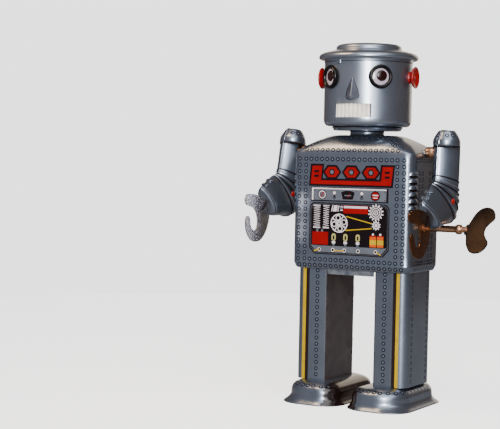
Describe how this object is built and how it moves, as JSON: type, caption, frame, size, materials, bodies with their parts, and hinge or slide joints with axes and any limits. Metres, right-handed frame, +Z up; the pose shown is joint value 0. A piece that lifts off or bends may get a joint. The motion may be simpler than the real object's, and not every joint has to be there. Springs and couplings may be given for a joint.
{
  "type": "wind-up tin toy",
  "caption": "Standing wind-up tin robot: box torso, can head with brimmed lid and plug ears, swinging legs on domed feet, swinging arms with hooked claws, winding key at the side.",
  "frame": {"origin": "on the plane the feet stand on, in the middle between the feet, under the shoulder axis", "axes": "+Z up, the robot faces -Y, its left side and the key are at +X"},
  "size_m": [0.1788, 0.1191, 0.277],
  "materials": {
    "blue_grey_lacquer": "glossy metallic lacquer over printed tinplate",
    "dark_lacquer": "gloss black lacquer",
    "leg_inner_grey": "dark lacquer, half gloss",
    "plated_steel": "bright nickel plate",
    "key_steel": "dark plated steel",
    "copper_metal": "bright plated brass",
    "motor_brass": "plain brass",
    "motor_steel": "plain steel",
    "red_plastic": "glossy red plastic",
    "cream_plastic": "cream plastic",
    "eye_print": "printed glossy disc",
    "roller_plastic": "black plastic"
  },
  "bodies": {
    "root": {"torso_shell": "blue_grey_lacquer", "torso_back_plate": "blue_grey_lacquer", "pelvis_channel": "blue_grey_lacquer", "motor_plate_left": "motor_steel", "motor_plate_right": "motor_steel", "motor_pillars": "motor_steel", "hip_axle": "motor_steel", "mainspring": "motor_steel"},
    "head": {"head_can": "blue_grey_lacquer", "head_lid": "blue_grey_lacquer", "neck_collar": "blue_grey_lacquer", "neck_stud": "motor_steel", "teeth_plate": "cream_plastic", "left_eye_bezel": "dark_lacquer", "right_eye_bezel": "dark_lacquer", "left_eye_disc": "eye_print", "right_eye_disc": "eye_print", "left_ear": "red_plastic", "right_ear": "red_plastic"},
    "winder": {"winding_arbor": "motor_steel", "ratchet_wheel": "motor_steel", "key_stem": "key_steel", "key_wing": "key_steel"},
    "great_wheel": {"great_wheel": "motor_brass", "click_spring": "motor_steel"},
    "crank": {"crank_axle": "motor_steel", "crank_pinion": "motor_brass", "second_wheel": "motor_brass"},
    "governor": {"governor_axle": "motor_steel", "governor_pinion": "motor_brass", "governor_wheel": "motor_brass"},
    "pallet": {"governor_pallet": "motor_steel"},
    "left_leg": {"left_leg_shell": "blue_grey_lacquer", "left_leg_inner_plate": "leg_inner_grey", "left_leg_lever": "motor_steel", "left_foot_shell": "blue_grey_lacquer", "left_sole_plate": "dark_lacquer", "left_roller_axles": "motor_steel"},
    "left_front_roller": {"left_front_roller": "roller_plastic"},
    "left_back_roller": {"left_back_roller": "roller_plastic"},
    "left_arm": {"left_arm_outer_half": "blue_grey_lacquer", "left_arm_inner_half": "blue_grey_lacquer", "left_claw": "plated_steel", "left_shoulder_axle": "motor_steel", "left_shoulder_boss": "copper_metal", "left_arm_lever": "motor_steel"},
    "right_leg": {"right_leg_shell": "blue_grey_lacquer", "right_leg_inner_plate": "leg_inner_grey", "right_leg_lever": "motor_steel", "right_foot_shell": "blue_grey_lacquer", "right_sole_plate": "dark_lacquer", "right_roller_axles": "motor_steel"},
    "right_front_roller": {"right_front_roller": "roller_plastic"},
    "right_back_roller": {"right_back_roller": "roller_plastic"},
    "right_arm": {"right_arm_outer_half": "blue_grey_lacquer", "right_arm_inner_half": "blue_grey_lacquer", "right_claw": "plated_steel", "right_shoulder_axle": "motor_steel", "right_shoulder_boss": "copper_metal", "right_arm_lever": "motor_steel"}
  },
  "joints": [
    {"name": "head_turn", "type": "hinge", "parent": "root", "child": "head", "pos_m": [0, 0, 0.21], "axis": [0, 0, 1], "range_deg": [-35, 35]},
    {"name": "left_leg_swing", "type": "hinge", "parent": "root", "child": "left_leg", "pos_m": [0, 0.0009, 0.111], "axis": [1, 0, 0], "range_deg": [-7, 7]},
    {"name": "right_leg_swing", "type": "hinge", "parent": "root", "child": "right_leg", "pos_m": [0, 0.0009, 0.111], "axis": [1, 0, 0], "range_deg": [-7, 7]},
    {"name": "left_arm_swing", "type": "hinge", "parent": "root", "child": "left_arm", "pos_m": [0, 0, 0.194], "axis": [1, 0, 0], "range_deg": [-14, 1]},
    {"name": "right_arm_swing", "type": "hinge", "parent": "root", "child": "right_arm", "pos_m": [0, 0, 0.194], "axis": [1, 0, 0], "range_deg": [-1, 14]},
    {"name": "key_wind", "type": "hinge", "parent": "root", "child": "winder", "pos_m": [0, 0.002, 0.137], "axis": [1, 0, 0], "continuous": true},
    {"name": "great_wheel_turn", "type": "hinge", "parent": "root", "child": "great_wheel", "pos_m": [0, 0.002, 0.137], "axis": [1, 0, 0], "continuous": true},
    {"name": "crank_turn", "type": "hinge", "parent": "root", "child": "crank", "pos_m": [0, -0.0125, 0.128], "axis": [1, 0, 0], "continuous": true},
    {"name": "governor_turn", "type": "hinge", "parent": "root", "child": "governor", "pos_m": [0, -0.016, 0.14324], "axis": [1, 0, 0], "continuous": true},
    {"name": "pallet_rock", "type": "hinge", "parent": "root", "child": "pallet", "pos_m": [0, -0.016, 0.15374], "axis": [1, 0, 0], "range_deg": [-6, 6]},
    {"name": "left_front_roller_spin", "type": "hinge", "parent": "left_leg", "child": "left_front_roller", "pos_m": [0, -0.025, 0.004], "axis": [1, 0, 0], "continuous": true},
    {"name": "left_back_roller_spin", "type": "hinge", "parent": "left_leg", "child": "left_back_roller", "pos_m": [0, 0.025, 0.004], "axis": [1, 0, 0], "continuous": true},
    {"name": "right_front_roller_spin", "type": "hinge", "parent": "right_leg", "child": "right_front_roller", "pos_m": [0, -0.025, 0.004], "axis": [1, 0, 0], "continuous": true},
    {"name": "right_back_roller_spin", "type": "hinge", "parent": "right_leg", "child": "right_back_roller", "pos_m": [0, 0.025, 0.004], "axis": [1, 0, 0], "continuous": true}
  ],
  "couplings": [
    {"joint": "right_leg_swing", "follows": "left_leg_swing", "ratio": -1},
    {"joint": "right_arm_swing", "follows": "left_arm_swing", "ratio": -1},
    {"joint": "crank_turn", "follows": "great_wheel_turn", "ratio": -4},
    {"joint": "governor_turn", "follows": "great_wheel_turn", "ratio": 14.4}
  ]
}
